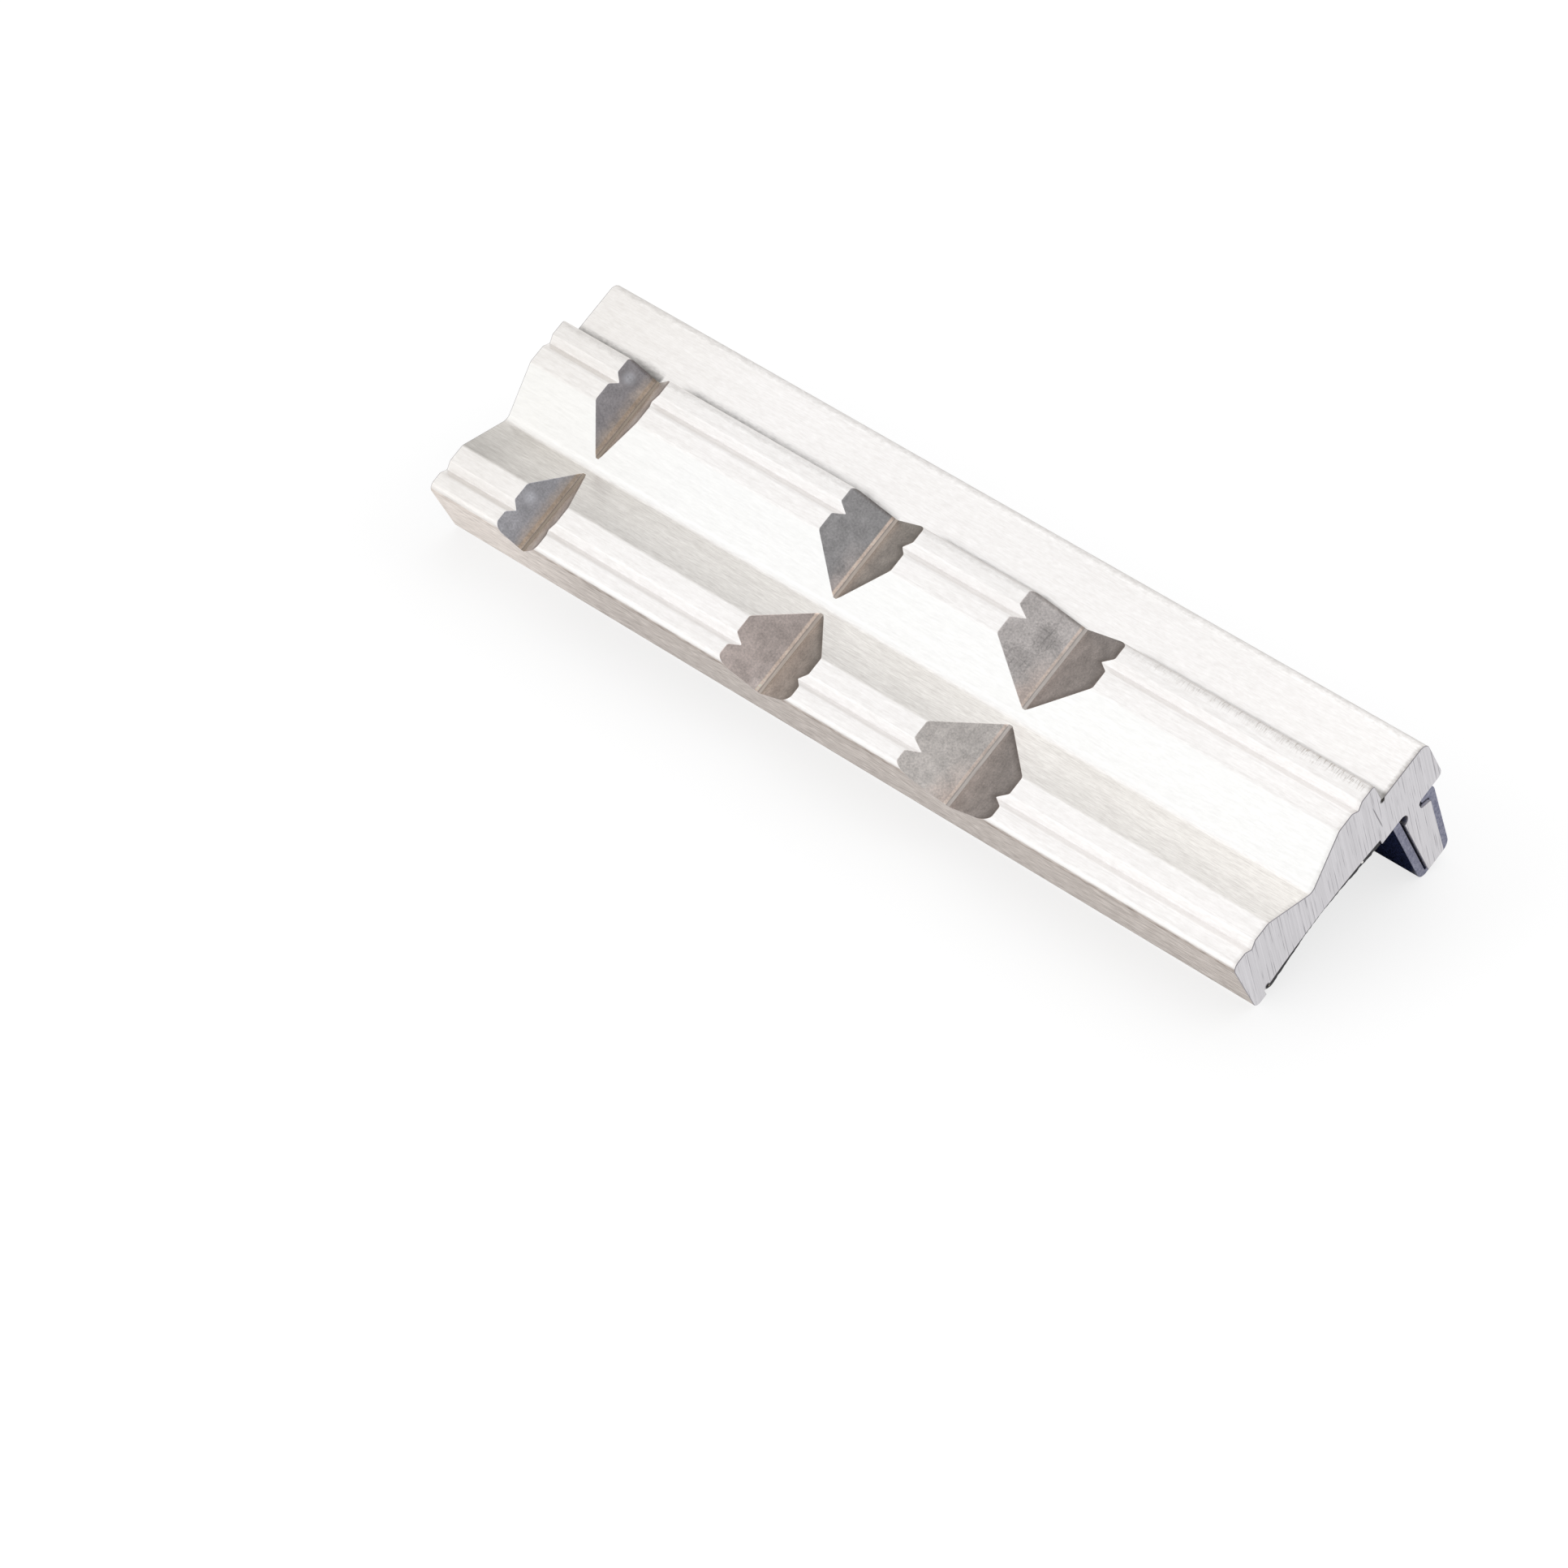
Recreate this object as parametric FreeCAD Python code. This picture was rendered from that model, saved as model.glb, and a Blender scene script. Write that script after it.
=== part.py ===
"""Prismatic soft jaw for a bench vice, built as its three real pieces.

jaw_body      one aluminium extrusion: a plate with a long V in its work face, a set back ledge, and a rib
              with an undercut root behind it. Three V notches are milled across the work face.
magnet_strip  the flexible magnet sheet bonded into the shallow recess in the plate's back.
clip_cover    the plastic U profile that clips over the rib and hooks into the slot beside its root.

Sizes are in millimetres. The section is drawn in two coordinates of its own: v runs up the plate from its lower
edge, and w runs from the plate's back plane out to the work face. The section is extruded along X. The finished
jaw is then turned about X until it lies as it comes to rest, work face up, on its lower back edge and on the
cover's nose. The origin is the middle of the finished jaw's footprint, with +Z up.
"""
import FreeCAD, Part
import math
import os
from dataclasses import dataclass

# Plate and ledge
jaw_length = 125.0
jaw_height = 34.6
work_face_height = 26.2
plate_thickness = 9.8
step_depth = 3.45
ledge_back_drop = 1.0
lower_back_radius = 0.5
lower_front_radius = 0.7
step_corner_radius = 0.8
step_root_radius = 0.2
ledge_front_radius = 1.3
ledge_back_radius = 0.8

# Long V along the middle of the work face
v_groove_width = 13.1
v_groove_angle = 120.0
v_groove_root_radius = 1.2
v_groove_shoulder_radius = 1.0

# Two small grooves along the lands, one on each side of the long V
small_groove_inset = 3.2
small_groove_width = 1.8
small_groove_depth = 0.7
small_groove_root_radius = 0.15
small_groove_shoulder_radius = 0.5

# Three V notches milled across the work face, placed from the -X end
notch_depth = 3.1
notch_root_width = 0.4
small_notch_at = 14.2
small_notch_angle = 90.0
medium_notch_at = 52.4
medium_notch_angle = 120.0
large_notch_at = 81.6
large_notch_angle = 132.0

# Recess for the magnet, with a floor dished across its width
rim_width = 2.0
recess_width = 21.6
recess_edge_depth = 0.9
recess_dish = 0.6

# Rib behind the ledge, with a round groove at its root and a slot under the ledge
rib_at = 27.25
rib_reach = 12.6
rib_tip_thickness = 3.0
rib_flank_angle = 8.5
rib_inner_tip_radius = 0.3
rib_outer_tip_radius = 0.5
root_groove_radius = 0.8
rib_neck_thickness = 2.85
slot_height = 1.2
slot_root_radius = 0.5
shoulder_slope = 20.0
shoulder_radius = 0.35

# Magnet sheet
magnet_thickness = 0.75
magnet_side_clearance = 0.15
magnet_end_clearance = 0.2

# Clip cover
cover_wall = 1.15
cover_tip_wall = 0.6
cover_seat_gap = 0.2
cover_clearance = 0.1
cover_end_clearance = 0.4
cover_nose_radius = 1.1
cover_outer_nose_radius = 0.9
cover_inner_radius = 0.25
hook_outer_radius = 1.3
hook_tip_radius = 0.35
hook_tip_gap = 0.55


@dataclass(frozen=True)
class Corner:
    """A corner of a section outline: where it is, how it is rounded, and a point that the next side curves through."""

    v: float
    w: float
    radius: float = 0.0
    bend: tuple = None


def section_point(v, w):
    """The point in space of a section coordinate."""
    return FreeCAD.Vector(0.0, v, w)


def rounding(before, corner, after):
    """The start, middle and end of the arc that rounds a corner between two straight sides."""
    here = section_point(corner.v, corner.w)
    back = (section_point(before.v, before.w) - here).normalize()
    ahead = (section_point(after.v, after.w) - here).normalize()
    half_angle = back.getAngle(ahead) / 2.0
    inward = (back + ahead).normalize()
    tangent_length = corner.radius / math.tan(half_angle)
    centre = here + inward * (corner.radius / math.sin(half_angle))
    return here + back * tangent_length, centre - inward * corner.radius, here + ahead * tangent_length


def section_face(corners):
    """The flat face inside a closed outline of straight sides, bent sides and rounded corners."""
    starts, ends, edges = [], [], []
    for index, corner in enumerate(corners):
        before = corners[index - 1]
        after = corners[(index + 1) % len(corners)]
        if corner.radius > 0.0:
            start, middle, end = rounding(before, corner, after)
            edges.append(Part.Arc(start, middle, end).toShape())
        else:
            start = end = section_point(corner.v, corner.w)
        starts.append(start)
        ends.append(end)
    for index, corner in enumerate(corners):
        side_start = ends[index]
        side_end = starts[(index + 1) % len(corners)]
        if corner.bend is not None:
            edges.append(Part.Arc(side_start, section_point(*corner.bend), side_end).toShape())
        else:
            edges.append(Part.LineSegment(side_start, side_end).toShape())
    return Part.Face(Part.Wire(Part.__sortEdges__(edges)))


def extrusion(corners, length):
    """The outline extruded along X, centred on the middle of the jaw."""
    solid = section_face(corners).extrude(FreeCAD.Vector(length, 0.0, 0.0))
    solid.translate(FreeCAD.Vector(-length / 2.0, 0.0, 0.0))
    return solid


def slope(degrees):
    """The rise for each millimetre of run of a line at that angle."""
    return math.tan(math.radians(degrees))


def small_groove(centre):
    """The three corners of one small groove along a land."""
    half_width = small_groove_width / 2.0
    floor = plate_thickness - small_groove_depth
    return [
        Corner(centre - half_width, plate_thickness, small_groove_shoulder_radius),
        Corner(centre, floor, small_groove_root_radius),
        Corner(centre + half_width, plate_thickness, small_groove_shoulder_radius),
    ]


def long_v_groove():
    """The three corners of the long V, centred on the work face."""
    centre = work_face_height / 2.0
    half_width = v_groove_width / 2.0
    depth = half_width / slope(v_groove_angle / 2.0)
    return [
        Corner(centre - half_width, plate_thickness, v_groove_shoulder_radius),
        Corner(centre, plate_thickness - depth, v_groove_root_radius),
        Corner(centre + half_width, plate_thickness, v_groove_shoulder_radius),
    ]


def rib_flank_at(w, clearance=0.0):
    """How far up the plate the rib's sloping outer flank lies at a depth w, moved out by a clearance."""
    tip = rib_at + rib_tip_thickness
    moved_out = clearance / math.cos(math.radians(rib_flank_angle))
    return tip + (rib_reach + w) * slope(rib_flank_angle) + moved_out


def shoulder_at(v, clearance=0.0):
    """The depth w of the rib's sloping shoulder at a height v, moved out towards the ledge by a clearance."""
    root = -ledge_back_drop - slot_height
    run = v - rib_at - rib_neck_thickness
    return root - run * slope(shoulder_slope) + clearance / math.cos(math.radians(shoulder_slope))


def flank_meets_shoulder(flank_clearance=0.0, shoulder_clearance=0.0):
    """The corner where the rib's outer flank and its shoulder would meet if they were sharp."""
    flank_run = slope(rib_flank_angle)
    shoulder_run = slope(shoulder_slope)
    flank_base = rib_flank_at(0.0, flank_clearance)
    shoulder_base = shoulder_at(0.0, shoulder_clearance)
    v = (flank_base + flank_run * shoulder_base) / (1.0 + flank_run * shoulder_run)
    return v, shoulder_base - shoulder_run * v


def recess_arc_radius():
    """The radius of the recess floor, from its width and how far it is dished."""
    half_width = recess_width / 2.0
    return (half_width**2 + recess_dish**2) / (2.0 * recess_dish)


def recess_floor_at(v, above=0.0):
    """The depth w of the recess floor at a height v, or of a surface that lies a given thickness above it."""
    middle = rim_width + recess_width / 2.0
    deepest = recess_edge_depth + recess_dish
    radius = recess_arc_radius()
    return deepest - radius + math.sqrt((radius - above) ** 2 - (v - middle) ** 2)


def work_face_side():
    """The outline from the lower back edge, over the work face, to the ledge's back."""
    ledge_top = plate_thickness - step_depth
    outline = [
        Corner(0.0, 0.0, lower_back_radius),
        Corner(0.0, plate_thickness, lower_front_radius),
    ]
    outline += small_groove(small_groove_inset)
    outline += long_v_groove()
    outline += small_groove(work_face_height - small_groove_inset)
    outline += [
        Corner(work_face_height, plate_thickness, step_corner_radius),
        Corner(work_face_height, ledge_top, step_root_radius),
        Corner(jaw_height, ledge_top, ledge_front_radius),
        Corner(jaw_height, -ledge_back_drop, ledge_back_radius),
    ]
    return outline


def rib_side():
    """The outline from the slot under the ledge, round the rib, to the groove at its root."""
    slot_root = rib_at + rib_neck_thickness
    groove_end = (rib_at + root_groove_radius, -root_groove_radius)
    return [
        Corner(slot_root, -ledge_back_drop, slot_root_radius),
        Corner(slot_root, -ledge_back_drop - slot_height, slot_root_radius),
        Corner(*flank_meets_shoulder(), shoulder_radius),
        Corner(rib_at + rib_tip_thickness, -rib_reach, rib_outer_tip_radius),
        Corner(rib_at, -rib_reach, rib_inner_tip_radius),
        Corner(rib_at, -2.0 * root_groove_radius, bend=groove_end),
        Corner(rib_at, 0.0),
    ]


def recess_side():
    """The outline of the magnet's recess, from the rail beside the rib to the rim at the lower edge."""
    recess_end = rim_width + recess_width
    middle = rim_width + recess_width / 2.0
    return [
        Corner(recess_end, 0.0),
        Corner(recess_end, recess_edge_depth, bend=(middle, recess_floor_at(middle))),
        Corner(rim_width, recess_edge_depth),
        Corner(rim_width, 0.0),
    ]


def notch_cutter(distance, angle):
    """The milling cutter's path for one V notch across the work face: a prism that runs up the plate."""
    root = plate_thickness - notch_depth
    top = plate_thickness + notch_depth
    half_root = notch_root_width / 2.0
    half_top = half_root + (top - root) * slope(angle / 2.0)
    centre = distance - jaw_length / 2.0
    corners = [
        FreeCAD.Vector(centre - half_root, -rim_width, root),
        FreeCAD.Vector(centre + half_root, -rim_width, root),
        FreeCAD.Vector(centre + half_top, -rim_width, top),
        FreeCAD.Vector(centre - half_top, -rim_width, top),
    ]
    outline = Part.makePolygon(corners + corners[:1])
    run = rim_width + jaw_height
    return Part.Face(outline).extrude(FreeCAD.Vector(0.0, run, 0.0))


def jaw_body():
    """The extruded plate, ledge and rib in one piece, with its milled notches."""
    body = extrusion(work_face_side() + rib_side() + recess_side(), jaw_length)
    cutters = [
        notch_cutter(small_notch_at, small_notch_angle),
        notch_cutter(medium_notch_at, medium_notch_angle),
        notch_cutter(large_notch_at, large_notch_angle),
    ]
    return body.cut(cutters)


def magnet_strip():
    """The magnet sheet, bent to the recess floor that it is bonded to."""
    low = rim_width + magnet_side_clearance
    high = rim_width + recess_width - magnet_side_clearance
    middle = (low + high) / 2.0
    corners = [
        Corner(low, recess_floor_at(low), bend=(middle, recess_floor_at(middle))),
        Corner(high, recess_floor_at(high)),
        Corner(
            high,
            recess_floor_at(high, magnet_thickness),
            bend=(middle, recess_floor_at(middle, magnet_thickness)),
        ),
        Corner(low, recess_floor_at(low, magnet_thickness)),
    ]
    return extrusion(corners, jaw_length - 2.0 * magnet_end_clearance)


def cover_outside():
    """The cover's outer outline, from its foot on the rail, round the rib's tip, to the hook's tip."""
    foot = rib_at - cover_seat_gap - cover_wall
    nose = -rib_reach - cover_clearance - cover_tip_wall
    hook_top = -ledge_back_drop - cover_clearance
    hook_tip = rib_at + rib_neck_thickness + hook_tip_gap
    outer_clearance = cover_clearance + cover_wall
    return [
        Corner(foot, 0.0),
        Corner(foot, nose, cover_nose_radius),
        Corner(rib_flank_at(nose, outer_clearance), nose, cover_outer_nose_radius),
        Corner(rib_flank_at(hook_top, outer_clearance), hook_top, hook_outer_radius),
        Corner(hook_tip, hook_top, hook_tip_radius),
    ]


def cover_inside():
    """The cover's inner outline, from the hook's tip, along the rib, back to its foot."""
    hook_tip = rib_at + rib_neck_thickness + hook_tip_gap
    inner_tip = -rib_reach - cover_clearance
    inner_corner = flank_meets_shoulder(cover_clearance, cover_clearance)
    return [
        Corner(hook_tip, shoulder_at(hook_tip, cover_clearance), hook_tip_radius),
        Corner(*inner_corner, shoulder_radius),
        Corner(rib_flank_at(inner_tip, cover_clearance), inner_tip, cover_inner_radius),
        Corner(rib_at - cover_seat_gap, inner_tip, cover_inner_radius),
        Corner(rib_at - cover_seat_gap, 0.0),
    ]


def clip_cover():
    """The plastic U profile over the rib, a little shorter than the jaw."""
    return extrusion(cover_outside() + cover_inside(), jaw_length - 2.0 * cover_end_clearance)


def rest_tilt():
    """How far the plate leans, in degrees, when its lower back edge and the cover's nose both touch the ground.

    Both are round, so the centre of each round stands its own radius above the ground.
    """
    foot = rib_at - cover_seat_gap - cover_wall
    nose = -rib_reach - cover_clearance - cover_tip_wall
    run = foot + cover_nose_radius - lower_back_radius
    drop = lower_back_radius - (nose + cover_nose_radius)
    rise = cover_nose_radius - lower_back_radius
    return math.degrees(math.atan2(drop, run) + math.asin(rise / math.hypot(run, drop)))


def laid_down(pieces):
    """The pieces turned into the jaw's rest pose, with the origin under the middle of the whole jaw."""
    tilt = rest_tilt()
    for shape in pieces.values():
        shape.rotate(FreeCAD.Vector(0.0, 0.0, 0.0), FreeCAD.Vector(1.0, 0.0, 0.0), tilt)
    bounds = Part.makeCompound(list(pieces.values())).optimalBoundingBox(False, False)
    middle = FreeCAD.Vector(bounds.Center.x, bounds.Center.y, bounds.ZMin)
    for shape in pieces.values():
        shape.translate(-middle)
    return pieces


pieces = laid_down({
    "jaw_body": jaw_body(),
    "magnet_strip": magnet_strip(),
    "clip_cover": clip_cover(),
})
os.makedirs("parts", exist_ok=True)
for name, shape in pieces.items():
    shape.exportStep("parts/" + name + ".step")
    print(name, "volume", round(shape.Volume, 2), "mm3", "solids", len(shape.Solids), "valid", shape.isValid())
print("rest tilt", round(rest_tilt(), 3), "degrees")
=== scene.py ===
"""Prismatic soft jaw, dressed: drawn aluminium with milled notches, a magnet sheet in its back and a clip cover.

Every size is in millimetres until it goes into a mesh. The section is drawn in two coordinates of its own: v runs
up the plate from its lower edge and w runs from the back plane out to the work face. u runs along the jaw from its
far, -X end. RestPose turns (u, v, w) into the scene's metres, and the materials turn it back the same way.
"""
from __future__ import annotations

import logging
import math
from dataclasses import dataclass
from enum import Enum
from typing import Any

import bmesh
import bpy
import numpy as np
from mathutils import Matrix, Vector
from mathutils.geometry import delaunay_2d_cdt


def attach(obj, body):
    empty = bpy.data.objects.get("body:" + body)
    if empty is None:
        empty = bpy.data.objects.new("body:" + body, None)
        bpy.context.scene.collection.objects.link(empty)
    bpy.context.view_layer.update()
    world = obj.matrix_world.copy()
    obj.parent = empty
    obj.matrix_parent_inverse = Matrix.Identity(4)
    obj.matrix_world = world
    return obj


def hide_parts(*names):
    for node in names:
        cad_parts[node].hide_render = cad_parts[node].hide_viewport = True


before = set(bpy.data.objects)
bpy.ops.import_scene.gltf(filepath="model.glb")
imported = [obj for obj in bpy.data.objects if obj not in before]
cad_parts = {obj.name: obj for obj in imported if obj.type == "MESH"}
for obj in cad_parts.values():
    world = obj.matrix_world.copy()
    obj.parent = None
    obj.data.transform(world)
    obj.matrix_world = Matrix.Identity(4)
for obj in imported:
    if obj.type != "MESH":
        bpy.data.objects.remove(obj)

Array = np.ndarray
Node = bpy.types.Node
Triple = tuple[float, float, float]
Pair = tuple[str, str]
Tints = tuple[str, str, str]
Layer = tuple[Any, Any]
Ramp = tuple[str, float, float, float, float]
LOG = logging.getLogger("soft_jaw")
MM = 0.001
# Points of an outline closer than this, in mm, are one point. In a finished mesh the next one holds, in metres.
SAME_POINT = 1e-5
SAME_VERTEX = 1e-7
# A side shorter than this, in mm, has no direction.
NO_LENGTH = 1e-9
# The least cosine that inset divides by, so that no sharp corner is thrown far in.
LEAST_COSINE = 0.6
# What makes a ramp ease in and out.
SMOOTH = {"interpolation_type": "SMOOTHSTEP"}


def from_hex(colour: str) -> tuple[float, ...]:
    """Turns an sRGB colour, six hex digits with a leading hash, into linear red, green, blue and alpha."""
    values = (int(colour[i:i + 2], 16) / 255.0 for i in (1, 3, 5))
    return *(c / 12.92 if c <= 0.04045 else ((c + 0.055) / 1.055) ** 2.4 for c in values), 1.0


class Graph:
    """A node tree, empty at first, and the ways in which its nodes are put together."""

    def __init__(self, owner: bpy.types.Material | bpy.types.World) -> None:
        """Gives a material or a world an empty node tree.

        Args:
            owner: the material or world.
        """
        owner.use_nodes = True
        self.tree = owner.node_tree
        self.tree.nodes.clear()

    def add(self, kind: str, *values: Any, **named: Any) -> Node:
        """Adds one node, sets its properties, and fills or links its inputs.

        An input takes a plain value, a hex colour, an output socket, or a node, whose first open output is linked.

        Args:
            kind: the node's type name without its ShaderNode prefix.
            values: what goes into the node's open inputs, in their order.
            named: a property of the node in lower case, or an input by its own name, with _ for a space.

        Returns:
            The new node.
        """
        node = self.tree.nodes.new("ShaderNode" + kind)
        for name in filter(str.islower, named):
            setattr(node, name, named[name])
        inputs = list(zip((socket for socket in node.inputs if socket.enabled), values))
        inputs += [(node.inputs[name.replace("_", " ")], value) for name, value in named.items() if not name.islower()]
        for socket, value in inputs:
            if isinstance(value, Node):
                value = next(output for output in value.outputs if output.enabled)
            if isinstance(value, bpy.types.NodeSocket):
                self.tree.links.new(value, socket)
            else:
                socket.default_value = from_hex(value) if isinstance(value, str) else value
        return node

    def chain(self, operation: str, first: Any, *others: Any) -> Any:
        """Takes several values into one, two at a time, by one operation.

        Args:
            operation: a Math operation on two values.
            first: the value it starts from.
            others: the values that join it, in order.

        Returns:
            The result.
        """
        for other in others:
            first = self.add("Math", first, other, operation=operation)
        return first

    def total(self, first: Any, *shares: tuple[Any, Any]) -> Any:
        """Adds shares to a value.

        Args:
            first: the value it starts from.
            shares: parts and the factor that each is multiplied by.

        Returns:
            The sum.
        """
        for part, factor in shares:
            first = self.add("Math", part, factor, first, operation="MULTIPLY_ADD")
        return first

    def off(self, axis: Any, level: float) -> Node:
        """Adds how far a coordinate is from a level, to either side."""
        return self.add("Math", self.chain("SUBTRACT", axis, level), operation="ABSOLUTE")

    def layered(self, colour: Any, *layers: Layer) -> Any:
        """Lays colours over a first one.

        Args:
            colour: the lowest colour.
            layers: masks, 1 where a layer covers and 0 where it leaves bare, each with the layer's colour.

        Returns:
            The layered colour.
        """
        for mask, over in layers:
            colour = self.add("Mix", mask, colour, over, data_type="RGBA")
        return colour


@dataclass(frozen=True)
class RestPose:
    """How the section's coordinates lie in the scene while the jaw rests on its lower edge and its cover."""

    tilt_deg: float = 26.775789
    half_length: float = 62.5
    origin_y: float = -14.830352
    origin_z: float = -0.171638

    def place(self, u: Array, v: Array, w: Array) -> Array:
        """Turns section coordinates about X by the rest tilt, then shifts them to the scene's origin.

        Args:
            u: distances along the jaw, mm.
            v: heights up the plate, mm.
            w: depths out from the back plane, mm.

        Returns:
            One row of x, y and z in metres for each point.
        """
        c, s = math.cos(math.radians(self.tilt_deg)), math.sin(math.radians(self.tilt_deg))
        y = v * c - w * s + self.origin_y
        z = v * s + w * c + self.origin_z
        return np.stack([u - self.half_length, y, z], axis=-1).reshape(-1, 3) * MM

    def section_coordinates(self, graph: Graph) -> Node:
        """Adds the nodes that turn Object coordinates back into u, v and w in millimetres.

        Args:
            graph: the material's node tree.

        Returns:
            The node whose output is (u, v, w).
        """
        c, s = math.cos(math.radians(self.tilt_deg)), math.sin(math.radians(self.tilt_deg))
        shift_v = -(self.origin_y * c + self.origin_z * s)
        shift_w = -(self.origin_z * c - self.origin_y * s)
        return graph.add(
            "Mapping", graph.add("TexCoord").outputs["Object"], Location=(self.half_length, shift_v, shift_w),
            Rotation=(-math.radians(self.tilt_deg), 0.0, 0.0), Scale=(1.0 / MM,) * 3,
        )


POSE = RestPose()


def unit(rows: Array) -> Array:
    """Scales each row to a length of 1, and leaves a row of no length as it is."""
    return rows / np.maximum(np.linalg.norm(rows, axis=1, keepdims=True), NO_LENGTH)


def rounded(corners: Array, steps: int) -> Array:
    """Rounds the corners of a closed outline.

    Each corner's arc touches both of its sides. Its centre lies on the corner's bisector at radius / sin(half angle),
    and its points are blends of the two end directions, each weighted by the sine of the angle left to it.

    Args:
        corners: rows of v, w and radius; a radius of 0 keeps the corner sharp.
        steps: points on each arc.

    Returns:
        Rows of v and w round the outline, with no point twice.
    """
    here, radius = corners[:, :2], corners[:, 2:]
    back, ahead = (unit(np.roll(here, shift, axis=0) - here) for shift in (1, -1))
    half = 0.5 * np.arccos(np.clip((back * ahead).sum(axis=1, keepdims=True), -1.0, 1.0))
    sharp = radius == 0.0
    half = np.where(sharp, math.pi / 4.0, half)
    centre = here + unit(back + ahead) * radius / np.sin(half)
    first = here + back * radius / np.tan(half) - centre
    last = here + ahead * radius / np.tan(half) - centre
    sweep = (math.pi - 2.0 * half)[:, :, None]
    t = np.linspace(0.0, 1.0, steps)[None, :, None]
    swung = np.sin((1.0 - t) * sweep) * first[:, None] + np.sin(t * sweep) * last[:, None]
    arc = centre[:, None] + swung / np.sin(sweep)
    points = np.where(sharp[:, :, None], here[:, None], arc).reshape(-1, 2)
    return points[np.linalg.norm(points - np.roll(points, 1, axis=0), axis=1) > SAME_POINT]


def inset(outline: Array, distance: float) -> Array:
    """Moves a clockwise closed outline inwards.

    Each point moves along the mean of its two sides' inward normals, lengthened so that both sides move by distance.

    Args:
        outline: rows of v and w, clockwise.
        distance: how far each side moves, mm.

    Returns:
        The moved points, in the same order.
    """
    side = unit(np.roll(outline, -1, axis=0) - outline)
    normal = np.stack([side[:, 1], -side[:, 0]], axis=1)
    mean = unit(normal + np.roll(normal, 1, axis=0))
    lengthen = 1.0 / np.maximum((mean * normal).sum(axis=1, keepdims=True), LEAST_COSINE)
    return outline + mean * lengthen * distance


@dataclass
class Surface:
    """A closed surface over a grid: rows go round the section and columns go along the jaw.

    below holds each point's distance down a notch's flank from its rim, in mm, and is 0 elsewhere.
    """

    u: Array
    v: Array
    w: Array
    finish: Array
    below: Array | None = None

    def cap(self, column: int) -> Array:
        """Divides one end of the surface into triangles that keep to its outline.

        Args:
            column: the end's column, 0 or -1.

        Returns:
            Rows of three row numbers, counterclockwise in v and w.
        """
        outline = [Vector(point) for point in np.stack([self.v[:, column], self.w[:, column]], axis=1)]
        sides = [(i, (i + 1) % len(outline)) for i in range(len(outline))]
        _, _, triangles, sources, _, _ = delaunay_2d_cdt(outline, sides, [], 1, 1e-6)
        return np.array([source[0] for source in sources])[np.array(triangles)]

    def build(self, name: str, cap_finish: int, sharp_deg: float = 20.0) -> bpy.types.Object:
        """Puts the grid and its two end caps into a mesh, and smooths it between its sharp edges.

        Args:
            name: the piece's name.
            cap_finish: material slot of the two ends.
            sharp_deg: edges that turn by more than this stay sharp.

        Returns:
            The new object, at the origin.
        """
        rows, columns = self.u.shape
        index = np.arange(rows * columns).reshape(rows, columns)
        below = np.roll(index, -1, axis=0)
        quads = np.stack([index[:, :-1], index[:, 1:], below[:, 1:], below[:, :-1]], axis=-1).reshape(-1)
        far = index[:, 0][self.cap(0)[:, ::-1]].reshape(-1)
        near = index[:, -1][self.cap(-1)].reshape(-1)
        loops = np.concatenate([quads, far, near]).astype(np.int32)
        cells, corners = rows * (columns - 1), (len(far) + len(near)) // 3
        starts = np.concatenate([np.arange(cells) * 4, cells * 4 + np.arange(corners) * 3]).astype(np.int32)
        slots = np.concatenate([self.finish.reshape(-1), np.full(corners, cap_finish)]).astype(np.int32)
        points = POSE.place(self.u, self.v, self.w)

        mesh = bpy.data.meshes.new(name)
        mesh.vertices.add(len(points))
        mesh.vertices.foreach_set("co", points.astype(np.float32).reshape(-1))
        mesh.loops.add(len(loops))
        mesh.loops.foreach_set("vertex_index", loops)
        mesh.polygons.add(len(starts))
        mesh.polygons.foreach_set("loop_start", starts)
        mesh.polygons.foreach_set("material_index", slots)
        mesh.update(calc_edges=True)
        if self.below is not None:
            depth = mesh.attributes.new("below_rim", "FLOAT", "POINT")
            depth.data.foreach_set("value", self.below.astype(np.float32).reshape(-1))
        merge = bmesh.new()
        merge.from_mesh(mesh)
        bmesh.ops.remove_doubles(merge, verts=merge.verts, dist=SAME_VERTEX)
        merge.to_mesh(mesh)
        merge.free()
        mesh.validate()
        mesh.shade_smooth()
        mesh.set_sharp_from_angle(angle=math.radians(sharp_deg))
        piece = bpy.data.objects.new(name, mesh)
        bpy.context.scene.collection.objects.link(piece)
        piece.modifiers.new("flat_sides", "WEIGHTED_NORMAL").keep_sharp = True
        return piece


def carried(outline: Array, start: float, end: float, edge: float, finish: int, end_finish: int) -> Surface:
    """Carries a clockwise outline along the jaw and breaks its two end edges with a small round.

    Args:
        outline: rows of v and w, clockwise.
        start: u of the far end, mm.
        end: u of the near end, mm.
        edge: radius of the round on the end edges, mm.
        finish: material slot of the sides.
        end_finish: material slot of the end rounds.

    Returns:
        The surface, with three columns at each end.
    """
    turn = np.radians([0.0, 45.0, 90.0])
    along = edge * (1.0 - np.cos(turn))
    rings = [inset(outline, float(edge * (1.0 - np.sin(angle)))) for angle in turn]
    u = np.concatenate([start + along, end - along[::-1]])
    v, w = (np.stack([ring[:, axis] for ring in rings + rings[::-1]], axis=1) for axis in (0, 1))
    slots = np.array([end_finish, end_finish, finish, end_finish, end_finish])
    return Surface(np.broadcast_to(u, v.shape).copy(), v, w, np.broadcast_to(slots, (len(outline), 5)).copy())


@dataclass(frozen=True)
class Notch:
    """One V notch milled across the work face: its root's place along the jaw and the angle of its flanks."""

    at: float
    angle_deg: float

    @property
    def run(self) -> float:
        """How far a flank moves out for each millimetre of height."""
        return math.tan(math.radians(self.angle_deg / 2.0))


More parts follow.
